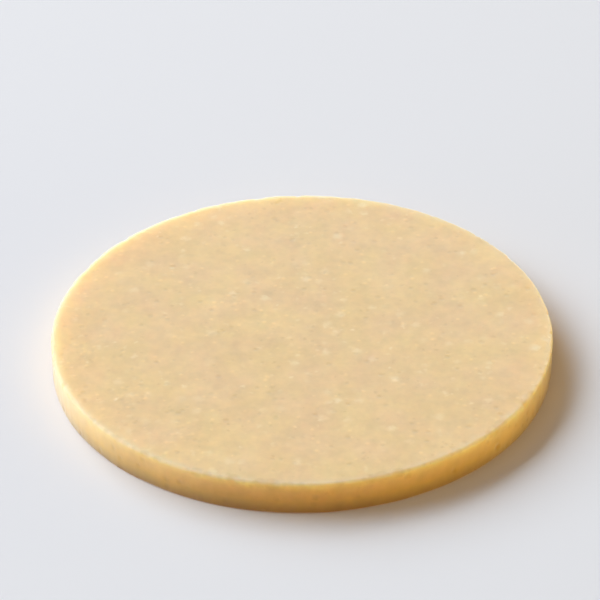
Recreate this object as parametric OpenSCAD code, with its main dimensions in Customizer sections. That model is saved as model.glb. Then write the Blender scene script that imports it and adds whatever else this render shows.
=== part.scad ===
// Shaving soap puck: one flat, round cake of hard soap, formed in a single piece.
// It lies on its base with the lathering face up and carries no lettering.
// Millimetres, +Z up, with the origin at the centre of the base.

/* [Puck] */
// Diameter across the side wall
puck_d = 95; // [60:1:120]
// Height from the base to the top face
puck_h = 6.7; // [4:0.1:40]

/* [Edges] */
// Radius of the worn edge between the side wall and the top face
top_edge_r = 0.6; // [0.2:0.1:1.8]
// Radius of the edge between the side wall and the base
base_edge_r = 0.4; // [0.2:0.1:1.8]

/* [Hidden] */
// Flat segments that OpenSCAD draws a full circle with
$fn = 180;
// Pale tan of the soap
soap_colour = [0.91, 0.80, 0.61];
puck_r = puck_d / 2;
// Height of the straight part of the side wall, between its two rounded edges
wall_h = puck_h - top_edge_r - base_edge_r;

// Quarter round of radius edge_r in the lower outer corner of the section,
// with the solid strip that reaches from it to the axis
module edge_strip(edge_r) {
    centre_x = puck_r - edge_r;
    square([centre_x, edge_r]);
    intersection() {
        translate([centre_x, edge_r]) circle(r = edge_r);
        translate([centre_x, 0]) square(edge_r);
    }
}

// Half of the puck's cross-section, from its axis out to the side wall
module half_section() {
    edge_strip(base_edge_r);
    translate([0, base_edge_r]) square([puck_r, wall_h]);
    translate([0, puck_h]) mirror([0, 1]) edge_strip(top_edge_r);
}

// The whole cake of soap: flat base and top face, straight side wall, rounded edges
module soap_puck() {
    color(soap_colour) rotate_extrude() half_section();
}

soap_puck();
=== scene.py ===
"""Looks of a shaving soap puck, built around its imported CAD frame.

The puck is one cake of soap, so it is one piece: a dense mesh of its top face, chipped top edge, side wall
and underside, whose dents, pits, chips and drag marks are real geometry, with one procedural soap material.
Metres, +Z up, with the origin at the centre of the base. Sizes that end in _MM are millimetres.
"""

import math

import bpy
import numpy as np
from mathutils import Matrix, Vector


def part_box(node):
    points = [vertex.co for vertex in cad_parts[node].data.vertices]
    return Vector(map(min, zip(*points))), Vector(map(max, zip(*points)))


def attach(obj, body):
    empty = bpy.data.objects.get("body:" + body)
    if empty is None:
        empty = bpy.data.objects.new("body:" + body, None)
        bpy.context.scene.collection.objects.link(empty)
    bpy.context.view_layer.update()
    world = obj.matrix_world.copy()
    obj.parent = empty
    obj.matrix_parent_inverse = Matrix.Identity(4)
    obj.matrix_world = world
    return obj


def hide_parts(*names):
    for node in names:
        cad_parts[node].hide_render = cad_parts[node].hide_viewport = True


MM = 0.001
SEED = 11

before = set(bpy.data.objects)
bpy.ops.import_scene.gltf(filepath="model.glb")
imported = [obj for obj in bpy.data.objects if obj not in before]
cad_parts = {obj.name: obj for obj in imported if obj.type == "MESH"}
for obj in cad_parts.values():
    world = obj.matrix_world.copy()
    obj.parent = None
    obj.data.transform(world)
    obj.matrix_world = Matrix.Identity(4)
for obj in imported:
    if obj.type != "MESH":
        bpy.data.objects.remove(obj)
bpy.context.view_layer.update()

LOW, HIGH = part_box("soap_puck")
PUCK_R = (HIGH.x - LOW.x) / 2
PUCK_H = HIGH.z - LOW.z


# ---------------------------------------------------------------- camera, floor and light

CAMERA_ELEVATION = math.radians(34.6)
CAMERA_ROLL = math.radians(-0.73)
CAMERA_DISTANCE = 12.39 * PUCK_R
CAMERA_AIM = Vector((-0.005 * PUCK_R, 0.4105 * PUCK_R, 0.0))
CAMERA_LENS_MM = 180
SENSOR_MM = 36
CLIP_START = 0.01

# Each soft lamp: azimuth and elevation in degrees, distance and size in metres, power in watts, colour.
# The two low ones stand in for light that comes back from the room, cool on the left, warm on the right.
LAMPS = {
    "window": (145, 34, 3.6, (4.4, 2.5), 222.0, (1.0, 1.0, 1.0)),
    "left": (192, 4, 1.2, (1.2, 0.16), 5.5, (0.54, 0.74, 1.0)),
    "return": (348, 4, 1.0, (1.2, 0.12), 7.0, (1.0, 0.80, 0.38)),
}
# Light of the room on level ground, and how far it leans towards the window, from 0 (even) to 1
SKY_STRENGTH = 0.18
SKY_LEAN = 0.85
FLOOR_SIZE = 4.0
FLOOR_ROUGHNESS = 0.6
FLOOR_SPECULAR = 0.05
FLOOR_COLOUR = (0.795, 0.81, 0.855)
# Colour with which the floor throws light back at the puck. It stands in for the warm light that passes
# through real soap, meets the plate under it and comes back out through the wall.
FLOOR_BOUNCE = (0.82, 0.52, 0.03)
BACKGROUND_COLOUR = (0.84, 0.84, 0.85)


def place(obj):
    """Links an object into the scene and returns it."""
    bpy.context.scene.collection.objects.link(obj)
    return obj


def aimed_at(location, target, roll=0.0):
    """Matrix of a camera or lamp at location, looking along its -Z at target, turned by roll."""
    forward = (target - location).normalized()
    turn = forward.to_track_quat("-Z", "Y").to_matrix() @ Matrix.Rotation(roll, 3, "Z")
    return Matrix.Translation(location) @ turn.to_4x4()


def direction(azimuth, elevation):
    """Unit vector towards an azimuth, anticlockwise from +X, and an elevation above the floor."""
    flat = math.cos(elevation)
    return Vector((flat * math.cos(azimuth), flat * math.sin(azimuth), math.sin(elevation)))


def add_camera():
    """The photograph's view: from the front, well above the floor, with a long lens."""
    data = bpy.data.cameras.new("camera")
    data.lens = CAMERA_LENS_MM
    data.sensor_width = SENSOR_MM
    data.clip_start = CLIP_START
    camera = place(bpy.data.objects.new("camera", data))
    location = CAMERA_AIM + CAMERA_DISTANCE * direction(-math.pi / 2, CAMERA_ELEVATION)
    camera.matrix_world = aimed_at(location, CAMERA_AIM, CAMERA_ROLL)
    bpy.context.scene.camera = camera


def add_lamp(name, azimuth, elevation, distance, size, power, colour):
    """A soft rectangular lamp that shines at the puck, hidden from the camera and from its gloss."""
    data = bpy.data.lights.new(name, "AREA")
    data.shape = "RECTANGLE"
    data.size, data.size_y = size
    data.energy = power
    data.color = colour
    lamp = place(bpy.data.objects.new(name, data))
    location = distance * direction(math.radians(azimuth), math.radians(elevation))
    lamp.matrix_world = aimed_at(location, Vector((0, 0, 0)))
    lamp.visible_camera = False
    lamp.visible_glossy = False


def add_world():
    """A dim room, brighter towards the window, for the light, and a pale one for the camera."""
    world = bpy.data.worlds.new("room")
    world.use_nodes = True
    bpy.context.scene.world = world
    nodes, links = world.node_tree.nodes, world.node_tree.links
    nodes.clear()
    out = nodes.new("ShaderNodeOutputWorld")
    mix = nodes.new("ShaderNodeMixShader")
    path = nodes.new("ShaderNodeLightPath")
    heading = nodes.new("ShaderNodeTexCoord")
    towards = nodes.new("ShaderNodeVectorMath")
    towards.operation = "DOT_PRODUCT"
    towards.inputs[1].default_value = direction(math.radians(LAMPS["window"][0]), 0)
    strength = nodes.new("ShaderNodeMath")
    strength.operation = "MULTIPLY_ADD"
    strength.use_clamp = True
    strength.inputs[1].default_value = SKY_STRENGTH * SKY_LEAN
    strength.inputs[2].default_value = SKY_STRENGTH
    light = nodes.new("ShaderNodeBackground")
    light.inputs["Color"].default_value = (1, 1, 1, 1)
    seen = nodes.new("ShaderNodeBackground")
    seen.inputs["Color"].default_value = (*BACKGROUND_COLOUR, 1)
    links.new(heading.outputs["Generated"], towards.inputs[0])
    links.new(towards.outputs["Value"], strength.inputs[0])
    links.new(strength.outputs["Value"], light.inputs["Strength"])
    links.new(path.outputs["Is Camera Ray"], mix.inputs["Fac"])
    links.new(light.outputs["Background"], mix.inputs[1])
    links.new(seen.outputs["Background"], mix.inputs[2])
    links.new(mix.outputs["Shader"], out.inputs["Surface"])


def add_floor():
    """A plain pale floor that takes the puck's shadow.

    It shows its own colour to the camera and in gloss, and the bounce colour to all other light.
    """
    half = FLOOR_SIZE / 2
    mesh = bpy.data.meshes.new("floor")
    corners = [(-half, -half, 0), (half, -half, 0), (half, half, 0), (-half, half, 0)]
    mesh.from_pydata(corners, [], [(0, 1, 2, 3)])
    floor = place(bpy.data.objects.new("floor", mesh))
    material = bpy.data.materials.new("floor")
    material.use_nodes = True
    nodes, links = material.node_tree.nodes, material.node_tree.links
    shader = nodes["Principled BSDF"]
    path = nodes.new("ShaderNodeLightPath")
    shown = nodes.new("ShaderNodeMath")
    shown.operation = "MAXIMUM"
    colour = nodes.new("ShaderNodeMix")
    colour.data_type = "RGBA"
    colour.inputs["A"].default_value = (*FLOOR_BOUNCE, 1)
    colour.inputs["B"].default_value = (*FLOOR_COLOUR, 1)
    links.new(path.outputs["Is Camera Ray"], shown.inputs[0])
    links.new(path.outputs["Is Glossy Ray"], shown.inputs[1])
    links.new(shown.outputs["Value"], colour.inputs["Factor"])
    links.new(colour.outputs["Result"], shader.inputs["Base Color"])
    shader.inputs["Roughness"].default_value = FLOOR_ROUGHNESS
    shader.inputs["Specular IOR Level"].default_value = FLOOR_SPECULAR
    mesh.materials.append(material)


add_camera()
add_floor()
for lamp_name, lamp in LAMPS.items():
    add_lamp(lamp_name, *lamp)
add_world()


# ---------------------------------------------------------------- shape of the soap

# Top face: rings of triangles, ring k with 6 k corners, so that the triangles stay alike
TOP_RINGS = 150
BASE_RINGS = 30
# Columns round the edges and wall: a whole multiple of the corners in the last ring of each face
COLUMNS = 6 * TOP_RINGS
TOP_EDGE_STEPS = 7
WALL_STEPS = 14
BASE_EDGE_STEPS = 4

# How far the skin without its finish lies inside the CAD solid, and the most that its finish may rise, so
# that no bump leaves the CAD box
SKIN_MM = 0.06
MOST_RISE_MM = 0.9 * SKIN_MM
OUTER_MM = PUCK_R / MM - SKIN_MM
TOP_MM = PUCK_H / MM - SKIN_MM
# Reach of the rubbed edge round the top face, whose paler colour is partly a painted highlight
WORN_AND_HIGHLIGHT_BAND_MM = 1.6
# The underside is slightly hollow, so that the puck rests on the ring at its base edge
HOLLOW_MM = 0.05
# Radius of each edge, how far it wanders, the shortest and longest wavelength of that, and its limits
TOP_EDGE_R_MM = 0.52
TOP_EDGE_VARY_MM = 0.10
TOP_EDGE_WAVES_MM = (2.5, 30)
TOP_EDGE_LIMITS_MM = (0.3, 0.85)
BASE_EDGE_R_MM = 0.38
BASE_EDGE_VARY_MM = 0.05
BASE_EDGE_WAVES_MM = (4, 30)
BASE_EDGE_LIMITS_MM = (0.2, 0.6)

# Waviness of each surface: height, then shortest and longest wavelength, all in mm
TOP_WAVES = [(0.016, 9, 35), (0.006, 1.6, 5)]
WALL_WAVES = [(0.018, 12, 50), (0.007, 2, 6)]
BASE_WAVES = [(0.012, 8, 30)]
# Drag marks of the mould, up and down the wall, with the same three numbers
DRAG_MARKS = (0.005, 0.7, 2.5)
DRAG_STRETCH = 8

# How far scattered marks keep from the rim of each face, and from the foot and top of the wall
TOP_MARGIN_MM = 1.0
BASE_MARGIN_MM = 3.0
WALL_MARGINS_MM = (0.8, 1.0)
# Scattered marks: how many, then least and greatest radius and height (below 0 for a dent) in mm
TOP_DENTS = (46, (1.2, 3.4), (-0.016, -0.005))
TOP_PITS = (240, (0.35, 0.75), (-0.11, -0.04))
TOP_CRUMBS = (190, (0.35, 0.7), (0.03, 0.055))
WALL_PITS = (90, (0.35, 0.8), (-0.14, -0.04))
EDGE_CHIPS = (34, (0.6, 1.7), (-0.22, -0.07))
EDGE_NIBS = (110, (0.35, 0.8), (-0.09, -0.02))
BASE_PITS = (40, (1.6, 2.6), (-0.05, -0.02))

# Patches of crumbs with gaps between them on the top: azimuth in degrees, share of the radius, spread in
# mm and number of marks, then the least and greatest radius and height of a mark in mm
CRUMB_PATCHES = [(155, 0.24, 5.0, 60), (190, 0.90, 2.5, 60), (213, 0.80, 2.0, 46), (236, 0.82, 2.0, 24)]
CRUMB_PATCH_MARKS = ((0.35, 0.65), (-0.035, 0.055))

# Single nicks in the wall: azimuth in degrees, height, radius and depth in mm
WALL_NICKS = [(-67, 5.2, 0.8, 0.24), (-42, 2.4, 0.9, 0.22), (-118, 3.1, 0.7, 0.16), (58, 4.4, 0.8, 0.20)]

# Height at which a mark has its full effect on the colour, where it paints light on crumbs and shade in
# dents, and the most that a dent has, as a share of that
FULL_MARK_MM = 0.04
DEEPEST_MARK = 0.6

# Baked look: margin between the areas of its UV map, then the place and size of each area
UV_MARGIN = 0.008
WALL_STRIPS = 3
STRIPS_UV_TOP = 0.33
TOP_UV_R = 0.327
TOP_UV_CENTRE = np.array([UV_MARGIN + TOP_UV_R, STRIPS_UV_TOP + UV_MARGIN + TOP_UV_R])
BASE_UV_R = 0.158
BASE_UV_CENTRE = np.array([1 - UV_MARGIN - BASE_UV_R, 1 - UV_MARGIN - BASE_UV_R])


class Waves:
    """Smooth random field: a sum of cosines whose wavelengths, in mm, lie between two lengths."""

    def __init__(self, rng, shortest_mm, longest_mm, stretch=(1, 1, 1), count=48):
        heading = rng.normal(size=(count, 3))
        heading /= np.linalg.norm(heading, axis=1)[:, None]
        length = np.exp(rng.uniform(math.log(shortest_mm), math.log(longest_mm), count))
        self.wave = heading * (2 * math.pi / length)[:, None] / np.array(stretch)
        self.phase = rng.uniform(0, 2 * math.pi, count)

    def __call__(self, points):
        total = np.zeros(len(points))
        for wave, phase in zip(self.wave, self.phase):
            total += np.cos(points @ wave + phase)
        return total * math.sqrt(2 / len(self.phase))


def on_circle(angle, radius, height):
    """Points in mm at angles round the puck, at a radius and a height."""
    angle = np.asarray(angle, float)
    flat = np.stack([radius * np.cos(angle), radius * np.sin(angle)], 1)
    return np.column_stack([flat, np.broadcast_to(height, len(angle))])


def disc_faces(rings):
    """Triangles of a disc of rings, seen anticlockwise; corner 0 is the centre."""
    faces = []
    for k in range(1, rings + 1):
        outer, inner = 1 + 3 * k * (k - 1), 1 + 3 * (k - 1) * (k - 2)
        for side in range(6):
            for i in range(k):
                near = inner + (side * (k - 1) + i) % (6 * (k - 1)) if k > 1 else 0
                here = outer + side * k + i
                after = outer + (side * k + i + 1) % (6 * k)
                faces.append((near, here, after))
                if i < k - 1:
                    beside = inner + (side * (k - 1) + i + 1) % (6 * (k - 1))
                    faces.append((near, after, beside))
    return faces


def disc_polar(rings):
    """Share of the radius and the angle of each corner of a disc of rings."""
    share, angle = [0.0], [0.0]
    for k in range(1, rings + 1):
        for i in range(6 * k):
            share.append(k / rings)
            angle.append(2 * math.pi * i / (6 * k))
    return np.array(share), np.array(angle)


def stitch_faces(ring_start, ring_count, row_start):
    """Triangles that join the last ring of a disc to the row of columns round it."""
    ratio = COLUMNS // ring_count
    faces = []
    for i in range(ring_count):
        here = ring_start + i
        after = ring_start + (i + 1) % ring_count
        row = [row_start + (ratio * i + j) % COLUMNS for j in range(ratio + 1)]
        turn = (ratio + 1) // 2
        for j in range(ratio):
            faces.append((here if j < turn else after, row[j], row[j + 1]))
        faces.append((here, row[turn], after))
    return faces


def strip_faces(start, rows):
    """Quads between the rows of columns round the puck, top row first."""
    faces = []
    for row in range(rows - 1):
        above, below = start + row * COLUMNS, start + (row + 1) * COLUMNS
        for i in range(COLUMNS):
            j = (i + 1) % COLUMNS
            faces.append((above + i, below + i, below + j, above + j))
    return faces


def outline_rows(angle, rng):
    """Rows of (radius, height, tilt) in mm and radians for every column, from the top face to the base.

    The tilt is that of the surface: 0 faces up and pi faces down. The radius of each edge wanders round
    the puck, as on a cake that has been handled.
    """
    circle = on_circle(angle, OUTER_MM, 0)
    top_edge = TOP_EDGE_R_MM + TOP_EDGE_VARY_MM * Waves(rng, *TOP_EDGE_WAVES_MM)(circle)
    top_edge = np.clip(top_edge, *TOP_EDGE_LIMITS_MM)
    base_edge = BASE_EDGE_R_MM + BASE_EDGE_VARY_MM * Waves(rng, *BASE_EDGE_WAVES_MM)(circle)
    base_edge = np.clip(base_edge, *BASE_EDGE_LIMITS_MM)
    rows = []
    for step in range(TOP_EDGE_STEPS + 1):
        tilt = math.pi / 2 * step / TOP_EDGE_STEPS
        radius = OUTER_MM - top_edge * (1 - math.sin(tilt))
        height = TOP_MM - top_edge * (1 - math.cos(tilt))
        rows.append((radius, height, tilt))
    for step in range(1, WALL_STEPS):
        share = step / WALL_STEPS
        height = (TOP_MM - top_edge) * (1 - share) + base_edge * share
        rows.append((np.full(COLUMNS, OUTER_MM), height, math.pi / 2))
    for step in range(BASE_EDGE_STEPS + 1):
        tilt = math.pi / 2 * (1 + step / BASE_EDGE_STEPS)
        radius = OUTER_MM - base_edge * (1 - math.sin(tilt))
        height = base_edge * (1 + math.cos(tilt))
        rows.append((radius, height, tilt))
    return rows


def smooth_skin(rng):
    """Corners in mm, the way each faces, its tilt, the faces and how many are top, strip and underside."""
    angle = 2 * math.pi * np.arange(COLUMNS) / COLUMNS
    rows = outline_rows(angle, rng)

    def disc(rings, rim, height):
        """Corners of a disc that ends half a ring short of the rim."""
        share, around = disc_polar(rings)
        reach = np.interp(around, np.append(angle, 2 * math.pi), np.append(rim, rim[0]))
        return on_circle(around, share * rings / (rings + 0.5) * reach, height)

    top = disc(TOP_RINGS, rows[0][0], TOP_MM)
    strip = [on_circle(angle, radius, height) for radius, height, tilt in rows]
    base = disc(BASE_RINGS, rows[-1][0], HOLLOW_MM)
    strip_start = len(top)
    base_start = strip_start + len(rows) * COLUMNS

    top_rim, base_rim = 6 * TOP_RINGS, 6 * BASE_RINGS
    top_faces = disc_faces(TOP_RINGS) + stitch_faces(strip_start - top_rim, top_rim, strip_start)
    wall_faces = strip_faces(strip_start, len(rows))
    base_faces = [tuple(base_start + i for i in face) for face in disc_faces(BASE_RINGS)]
    base_faces += stitch_faces(base_start + len(base) - base_rim, base_rim, base_start - COLUMNS)
    base_faces = [tuple(reversed(face)) for face in base_faces]

    tilt = np.concatenate([np.zeros(len(top)), np.repeat([t for r, h, t in rows], COLUMNS),
                           np.full(len(base), math.pi)])
    corners = np.concatenate([top, *strip, base])
    around = np.arctan2(corners[:, 1], corners[:, 0])
    facing = np.stack([np.sin(tilt) * np.cos(around), np.sin(tilt) * np.sin(around), np.cos(tilt)], 1)
    faces = top_faces + wall_faces + base_faces
    return corners, facing, tilt, faces, (len(top_faces), len(wall_faces), len(base_faces))


def marks(points, centres, radii, heights):
    """Sum of small round bumps (height above 0) or dents (below 0) on the surface at points."""
    total = np.zeros(len(points))
    for centre, radius, height in zip(centres, radii, heights):
        near = np.flatnonzero(np.abs(points - centre).max(axis=1) < radius)
        away = ((points[near] - centre) ** 2).sum(axis=1) / radius**2
        total[near] += height * np.clip(1 - away, 0, None) ** 2
    return total


def spread(rng, kind, centres_of):
    """Centres, radii and heights of one kind of scattered mark."""
    count, radii, heights = kind
    return centres_of(rng, count), rng.uniform(*radii, count), rng.uniform(*heights, count)


def on_top(rng, count):
    """Random points all over the top face."""
    radius = (OUTER_MM - TOP_MARGIN_MM) * np.sqrt(rng.uniform(0, 1, count))
    return on_circle(rng.uniform(0, 2 * math.pi, count), radius, TOP_MM)


def on_base(rng, count):
    """Random points all over the underside."""
    radius = (OUTER_MM - BASE_MARGIN_MM) * np.sqrt(rng.uniform(0, 1, count))
    return on_circle(rng.uniform(0, 2 * math.pi, count), radius, HOLLOW_MM)


def on_wall(rng, count):
    """Random points all over the side wall."""
    foot, head = WALL_MARGINS_MM
    height = rng.uniform(foot, TOP_MM - head, count)
    return on_circle(rng.uniform(0, 2 * math.pi, count), OUTER_MM, height)


def on_top_edge(rng, count):
    """Random points along the edge between the top face and the wall."""
    inset = TOP_EDGE_R_MM * (1 - math.sqrt(0.5))
    return on_circle(rng.uniform(0, 2 * math.pi, count), OUTER_MM - inset, TOP_MM - inset)


def crumbs_in_patches(rng):
    """Centres of the crumbs that gather in patches on the top."""
    centres = []
    for azimuth, share, wide, count in CRUMB_PATCHES:
        middle = on_circle([math.radians(azimuth)], share * OUTER_MM, TOP_MM)
        drift = rng.normal(scale=wide, size=(count, 3)) * (1, 1, 0)
        centres.append(middle + drift)
    return np.concatenate(centres)


def waviness(points, kinds, rng):
    """Sum of the waves of one surface, in mm."""
    return sum(height * Waves(rng, short, long)(points) for height, short, long in kinds)


def finish_heights(corners, tilt, rng):
    """What the finish adds at each corner, in mm along the way it faces: broad waves, then marks."""
    top = np.clip(np.cos(tilt), 0, 1)
    side = np.sin(tilt)
    base = np.clip(-np.cos(tilt), 0, 1)
    broad = top * waviness(corners, TOP_WAVES, rng)
    broad += side * waviness(corners, WALL_WAVES, rng)
    broad += base * waviness(corners, BASE_WAVES, rng)
    height, short, long = DRAG_MARKS
    broad += side * height * Waves(rng, short, long, stretch=(1, 1, DRAG_STRETCH))(corners)

    local = np.zeros(len(corners))
    for kind, centres_of in ((TOP_DENTS, on_top), (TOP_PITS, on_top), (TOP_CRUMBS, on_top),
                             (WALL_PITS, on_wall), (EDGE_CHIPS, on_top_edge), (EDGE_NIBS, on_top_edge),
                             (BASE_PITS, on_base)):
        local += marks(corners, *spread(rng, kind, centres_of))
    patches = crumbs_in_patches(rng)
    radii, heights = CRUMB_PATCH_MARKS
    local += marks(corners, patches, rng.uniform(*radii, len(patches)), rng.uniform(*heights, len(patches)))
    for azimuth, height, radius, depth in WALL_NICKS:
        centre = on_circle([math.radians(azimuth)], OUTER_MM, height)
        local += marks(corners, centre, [radius], [-depth])
    return broad, local


def bake_map(mesh, corners, counts):
    """UV map for the baked look: the top face large, the underside small, the wall in three strips."""
    top_count, wall_count, base_count = counts
    loop_corner = np.empty(len(mesh.loops), np.int32)
    mesh.loops.foreach_get("vertex_index", loop_corner)
    flat = corners[loop_corner, :2] / (PUCK_R / MM)
    uv = np.empty((len(mesh.loops), 2))
    top_end = 3 * top_count
    wall_end = top_end + 4 * wall_count
    uv[:top_end] = TOP_UV_CENTRE + TOP_UV_R * flat[:top_end]
    uv[wall_end:] = BASE_UV_CENTRE + BASE_UV_R * flat[wall_end:] * (-1, 1)

    face = np.arange(wall_count)
    row, column = face // COLUMNS, face % COLUMNS
    rows = wall_count // COLUMNS
    per_strip = COLUMNS // WALL_STRIPS
    strip, along = column // per_strip, column % per_strip
    width = (1 - 2 * UV_MARGIN) / per_strip
    height = (STRIPS_UV_TOP - (WALL_STRIPS + 1) * UV_MARGIN) / WALL_STRIPS
    foot = UV_MARGIN + strip * (height + UV_MARGIN)
    for k, (step_u, step_v) in enumerate(((0, 0), (0, 1), (1, 1), (1, 0))):
        uv[top_end + k:wall_end:4, 0] = UV_MARGIN + (along + step_u) * width
        uv[top_end + k:wall_end:4, 1] = foot + height * (1 - (row + step_v) / rows)
    layer = mesh.uv_layers.new(name="OFBake")
    layer.data.foreach_set("uv", uv.astype(np.float32).ravel())


def add_shade(mesh, name, values):
    """Stores one number per corner for the material to read."""
    layer = mesh.attributes.new(name, "FLOAT", "POINT")
    layer.data.foreach_set("value", values.astype(np.float32))


def build_mesh():
    """The finished mesh of the cake of soap, with what its material reads."""
    rng = np.random.default_rng(SEED)
    smooth, facing, tilt, faces, counts = smooth_skin(rng)
    broad, local = finish_heights(smooth, tilt, rng)
    outwards = np.minimum(broad + local, MOST_RISE_MM)
    corners = smooth + facing * outwards[:, None]
    corners[:, 2] = np.maximum(corners[:, 2], 0)
    mesh = bpy.data.meshes.new("soap_puck_body")
    mesh.from_pydata((corners * MM).tolist(), [], faces)
    mesh.shade_smooth()
    bake_map(mesh, smooth, counts)
    add_shade(mesh, "side", np.sin(tilt))
    add_shade(mesh, "under", np.clip(-np.cos(tilt), 0, 1))
    inset = OUTER_MM - np.hypot(smooth[:, 0], smooth[:, 1])
    # The rubbed band round the top face also carries a painted highlight on the rounded edge
    edge_wear_and_highlight = np.clip(1 - inset / WORN_AND_HIGHLIGHT_BAND_MM, 0, 1) * np.clip(np.cos(tilt), 0, 1)
    add_shade(mesh, "worn", edge_wear_and_highlight)
    # Heights of the marks, which the material turns into painted light on crumbs and painted shade in dents
    add_shade(mesh, "mark", np.clip(local / FULL_MARK_MM, -DEEPEST_MARK, 1))
    return mesh


# ---------------------------------------------------------------- soap material

# Two casts of the top face's pale tan, which drift into each other
TOP_YELLOW = (0.838, 0.617, 0.306)
TOP_PINK = (0.844, 0.605, 0.329)
# The underside is a little deeper in colour, as it dried against the mould
BASE_COLOUR = (0.77, 0.54, 0.27)
# Rubbed edge round the top face, paler partly as a painted highlight on the rounded edge, and the most of
# it that shows; then pale flecks, partly painted glints, and dark flecks in the soap
WORN_AND_HIGHLIGHT_COLOUR = (0.79, 0.62, 0.42)
WORN_AND_HIGHLIGHT_SHARE = 0.85
PALE_FLECK_AND_GLINT = (0.98, 0.80, 0.54)
DARK_FLECK = (0.62, 0.42, 0.18)
# Colour of the wall at shares of its height: the soap's own amber with painted light over it, darker
# towards its foot as painted shade where the wall meets the floor, and paler towards the top as a painted
# glow of light that comes through the top face
WALL_COLOURS_AND_PAINTED_LIGHT = {
    0.0: (0.34, 0.20, 0.04),
    0.4: (0.69, 0.46, 0.135),
    0.75: (0.80, 0.57, 0.25),
    1.0: (0.96, 0.70, 0.36),
}

# Least and greatest value of most of the noise
NOISE_SPAN = (0.3, 0.7)
# Drifts of tone: size in mm and the share by which each lightens and darkens
TOP_TONES = [(14, 0.028), (7, 0.028), (3.5, 0.032), (1.8, 0.032), (0.9, 0.016)]
WALL_TONES = [(16, 0.04), (5, 0.06), (1.5, 0.03)]
STREAKS = (2.6, 0.02)
# Size in mm of the patches where the top face drifts between its two casts, and the noise that spans both
CAST_MM = 9.0
CAST_SPAN = (0.35, 0.65)
# Share by which a crumb lightens the colour as a painted highlight, and a dent darkens it as painted shade
MARK_PAINTED_LIGHT_AND_SHADE = 0.12

# Size and reach in mm of the drift that makes the outlines of flecks uneven
RAGGED_MM = (1.4, 1.6)
# Flecks in the soap: spacing and radius in mm, share of the cells that hold one, strength. The pale flecks
# on the top face are partly painted glints. The radius is multiplied by up to 1 more than SMALLEST_FLECK,
# and the strength by up to 1 more than FAINTEST_FLECK.
COARSE_FLECKS = (3.0, 1.3, 0.60, 0.80)
FINE_FLECKS = (1.7, 0.65, 0.40, 0.45)
DARK_FLECKS = (1.9, 0.55, 0.30, 0.32)
SMALLEST_FLECK = 0.35
FAINTEST_FLECK = 0.2
# Size in mm of the areas where pale flecks gather, the noise that spans from few to many, and how strong
# the flecks are where they are few and many
GATHER_MM = 9.0
GATHER_SPAN = (0.38, 0.62)
GATHER = (0.25, 1.5)

# Roughness of the skin, the size in mm and share of its drift, and how much smoother the wall and the pale
# flecks are
ROUGHNESS = 0.47
ROUGHNESS_DRIFT = (0.9, 0.14)
WALL_SMOOTHER = 0.08
FLECK_SMOOTHER = 0.3
# Bump that is finer than the mesh: size and height in mm of two grains, and the rise of a pale fleck
GRAIN = (0.55, 0.006)
FINE_GRAIN = (0.22, 0.002)
FLECK_RISE_MM = 0.012
# How rubbed the edge is where its soft coat has gone
COAT_GONE = 0.7

# How far red, green and blue light travel in the soap, in mm
SCATTER_MM = (8.5, 6.3, 4.3)
# Share of red, green and blue that each crossing of the skin lets through from a lamp to the floor
LET_THROUGH = (0.40, 0.265, 0.06)


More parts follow.
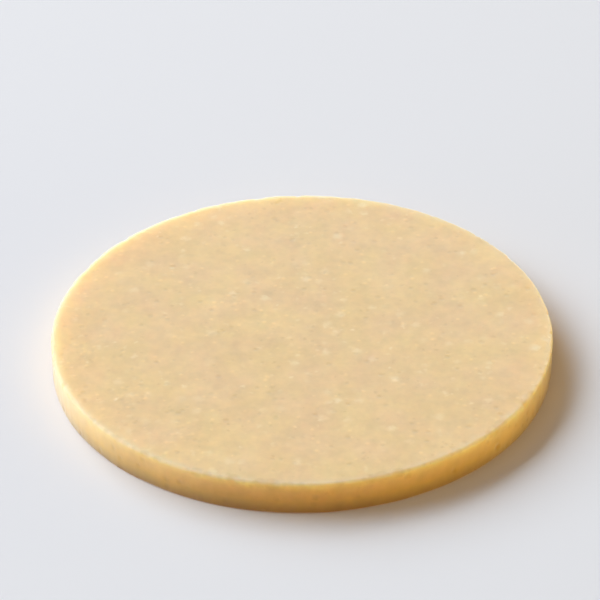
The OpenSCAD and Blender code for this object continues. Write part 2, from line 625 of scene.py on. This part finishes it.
class Nodes:
    """Builds a material from nodes in millimetres of the object."""

    def __init__(self, material):
        self.tree = material.node_tree
        metres = self.add("ShaderNodeTexCoord", "Object", {})
        self.where = self.vectors("SCALE", {0: metres, "Scale": 1 / MM})
        push = self.add("ShaderNodeTexNoise", "Color", {"Vector": self.where, "Scale": 1 / RAGGED_MM[0]})
        push = self.vectors("SCALE", {0: push, "Scale": RAGGED_MM[1]})
        self.ragged = self.vectors("ADD", {0: self.where, 1: push})

    def add(self, kind, output, inputs, **settings):
        """Adds a node, sets or links its inputs and returns one output."""
        node = self.tree.nodes.new(kind)
        for name, value in settings.items():
            setattr(node, name, value)
        for key, value in inputs.items():
            if isinstance(value, bpy.types.NodeSocket):
                self.tree.links.new(value, node.inputs[key])
            else:
                node.inputs[key].default_value = value
        return node.outputs[output]

    def maths(self, operation, a, b):
        """One sum of two numbers or outputs."""
        return self.add("ShaderNodeMath", "Value", {0: a, 1: b}, operation=operation)

    def vectors(self, operation, inputs):
        """One sum of vectors or colours."""
        return self.add("ShaderNodeVectorMath", "Vector", inputs, operation=operation)

    def shade(self, name):
        """A number that the mesh stores at its corners."""
        return self.add("ShaderNodeAttribute", "Fac", {}, attribute_name=name)

    def blend(self, share, a, b):
        """Colour or output a, turning into b as share goes from 0 to 1."""
        a, b = (c if isinstance(c, bpy.types.NodeSocket) else (*c, 1) for c in (a, b))
        return self.add("ShaderNodeMix", "Result", {"Factor": share, "A": a, "B": b}, data_type="RGBA")

    def dim(self, colour, by):
        """A colour times a number."""
        return self.vectors("SCALE", {0: colour, "Scale": by})

    def noise(self, size_mm, shift, where=None, detail=2.0):
        """Soft noise from about 0.3 to 0.7 with features of a size; shift makes each one different."""
        moved = self.vectors("ADD", {0: where or self.where, 1: (shift, shift, shift)})
        inputs = {"Vector": moved, "Scale": 1 / size_mm, "Detail": detail}
        return self.add("ShaderNodeTexNoise", "Fac", inputs)

    def span(self, value, from_ends, to_ends=(0, 1)):
        """A number carried from one range to another and held within it."""
        inputs = {"Value": value, "From Min": from_ends[0], "From Max": from_ends[1],
                  "To Min": to_ends[0], "To Max": to_ends[1]}
        return self.add("ShaderNodeMapRange", "Result", inputs)

    def about_one(self, value, share):
        """Noise made into a factor from 1 - share to 1 + share."""
        return self.span(value, NOISE_SPAN, (1 - share, 1 + share))

    def tones(self, drifts, shift):
        """Product of several drifts of tone."""
        total = 1.0
        for size_mm, share in drifts:
            drift = self.about_one(self.noise(size_mm, shift + size_mm), share)
            total = self.maths("MULTIPLY", total, drift)
        return total

    def flecks(self, spacing_mm, radius_mm, share, strength, shift):
        """Uneven flecks up to a strength, in a share of the cells of a random grid; no two are alike."""
        moved = self.vectors("ADD", {0: self.ragged, 1: (shift, 0, 0)})
        inputs = {"Vector": moved, "Scale": 1 / spacing_mm}
        away = self.add("ShaderNodeTexVoronoi", "Distance", inputs)
        cell = self.add("ShaderNodeSeparateColor", "Red", {0: away.node.outputs["Color"]})
        chosen = self.maths("GREATER_THAN", cell, 1 - share)
        reach = self.maths("ADD", cell.node.outputs["Green"], SMALLEST_FLECK)
        reach = self.maths("MULTIPLY", reach, radius_mm / spacing_mm)
        inputs = {"Value": away, "From Min": reach, "From Max": 0}
        spot = self.add("ShaderNodeMapRange", "Result", inputs, interpolation_type="SMOOTHSTEP")
        tint = self.maths("ADD", cell.node.outputs["Blue"], FAINTEST_FLECK)
        tint = self.maths("MULTIPLY", tint, strength)
        return self.maths("MULTIPLY", self.maths("MULTIPLY", chosen, spot), tint)


def ramp(nodes, value, colours):
    """Colour ramp through a few colours at shares from 0 to 1."""
    out = nodes.add("ShaderNodeValToRGB", "Color", {"Fac": value})
    stops = out.node.color_ramp.elements
    stops.remove(stops[1])
    for share, colour in colours.items():
        stop = stops[0] if share == 0 else stops.new(share)
        stop.color = (*colour, 1)
    return out


def soap_colour(nodes, side, pale, dark):
    """Base colour of the soap from its zone, tones, flecks and marks, with painted light and shade on the
    wall, the rubbed edge, the pale flecks and the marks.
    """
    height = nodes.add("ShaderNodeSeparateXYZ", "Z", {0: nodes.where})
    rise = nodes.maths("DIVIDE", height, PUCK_H / MM)

    hue = nodes.span(nodes.noise(CAST_MM, 3, detail=0.5), CAST_SPAN)
    top = nodes.blend(hue, TOP_YELLOW, TOP_PINK)
    top = nodes.blend(nodes.shade("under"), top, BASE_COLOUR)
    top = nodes.dim(top, nodes.tones(TOP_TONES, 0))

    tall = nodes.vectors("MULTIPLY", {0: nodes.where, 1: (1, 1, 1 / DRAG_STRETCH)})
    # Wall colour by height, with painted shade at the foot and a painted glow near the top
    wall = ramp(nodes, rise, WALL_COLOURS_AND_PAINTED_LIGHT)
    wall = nodes.dim(wall, nodes.tones(WALL_TONES, 40))
    wall = nodes.dim(wall, nodes.about_one(nodes.noise(STREAKS[0], 9, tall), STREAKS[1]))

    colour = nodes.blend(side, top, wall)
    # Paler rubbed edge, partly a painted highlight
    colour = nodes.blend(nodes.maths("MULTIPLY", nodes.shade("worn"), WORN_AND_HIGHLIGHT_SHARE), colour, WORN_AND_HIGHLIGHT_COLOUR)
    # Pale flecks, partly painted glints
    colour = nodes.blend(pale, colour, PALE_FLECK_AND_GLINT)
    colour = nodes.blend(dark, colour, DARK_FLECK)
    # Painted light on crumbs and painted shade in dents and chips
    painted_mark_light_and_shade = nodes.maths("ADD", nodes.maths("MULTIPLY", nodes.shade("mark"), MARK_PAINTED_LIGHT_AND_SHADE), 1)
    return nodes.dim(colour, painted_mark_light_and_shade)


def soap_material():
    """Dense, slightly waxy soap: mottled tan that glows at its edges, with a faint bloom. Some of the glow,
    with shade, highlights and glints, is painted into its colour.
    """
    material = bpy.data.materials.new("soap")
    material.use_nodes = True
    nodes = Nodes(material)
    shader = material.node_tree.nodes["Principled BSDF"]
    side = nodes.shade("side")
    open_face = nodes.maths("SUBTRACT", 1, side)
    # Pale flecks on the top face, partly painted glints
    pale = nodes.maths("ADD", nodes.flecks(*COARSE_FLECKS, 0), nodes.flecks(*FINE_FLECKS, 20))
    gather = nodes.span(nodes.noise(GATHER_MM, 70), GATHER_SPAN, GATHER)
    pale = nodes.maths("MULTIPLY", nodes.maths("MULTIPLY", pale, gather), open_face)
    dark = nodes.flecks(*DARK_FLECKS, 50)

    colour = soap_colour(nodes, side, pale, dark)
    drift_mm, drift = ROUGHNESS_DRIFT
    rough = nodes.maths("MULTIPLY", nodes.about_one(nodes.noise(drift_mm, 60), drift), ROUGHNESS)
    rough = nodes.maths("SUBTRACT", rough, nodes.maths("MULTIPLY", side, WALL_SMOOTHER))
    rough = nodes.maths("SUBTRACT", rough, nodes.maths("MULTIPLY", pale, FLECK_SMOOTHER))
    grain = nodes.maths("MULTIPLY", nodes.noise(GRAIN[0], 20), GRAIN[1])
    fine = nodes.maths("MULTIPLY", nodes.noise(FINE_GRAIN[0], 30), FINE_GRAIN[1])
    relief = nodes.maths("ADD", grain, fine)
    relief = nodes.maths("ADD", relief, nodes.maths("MULTIPLY", pale, FLECK_RISE_MM))
    bump = nodes.add("ShaderNodeBump", "Normal", {"Height": relief, "Distance": MM})

    tree = material.node_tree
    tree.links.new(colour, shader.inputs["Base Color"])
    tree.links.new(rough, shader.inputs["Roughness"])
    tree.links.new(bump, shader.inputs["Normal"])
    gloss = nodes.span(nodes.shade("worn"), (0, COAT_GONE), (1, 0))
    tree.links.new(gloss, shader.inputs["Coat Weight"])
    for name, value in {
        "Specular IOR Level": 0.1,
        "Subsurface Weight": 1.0,
        "Subsurface Radius": SCATTER_MM,
        "Subsurface Scale": MM,
        "Subsurface Anisotropy": 0.0,
        "Coat Roughness": 0.3,
        "Coat IOR": 1.35,
        "Sheen Weight": 0.8,
        "Sheen Roughness": 0.45,
    }.items():
        shader.inputs[name].default_value = value

    # Only shadow rays cross the soap, tinted, so that its shadow on the floor is as warm as real soap's
    let_through = nodes.add("ShaderNodeBsdfTransparent", "BSDF", {"Color": (*LET_THROUGH, 1)})
    to_lamp = nodes.add("ShaderNodeLightPath", "Is Shadow Ray", {})
    inputs = {0: to_lamp, 1: shader.outputs["BSDF"], 2: let_through}
    surface = nodes.add("ShaderNodeMixShader", "Shader", inputs)
    tree.links.new(surface, tree.nodes["Material Output"].inputs["Surface"])
    return material


body = place(bpy.data.objects.new("soap_puck_body", build_mesh()))
body.data.materials.append(soap_material())
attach(body, "root")
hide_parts("soap_puck")

bpy.context.scene.view_settings.view_transform = "Standard"
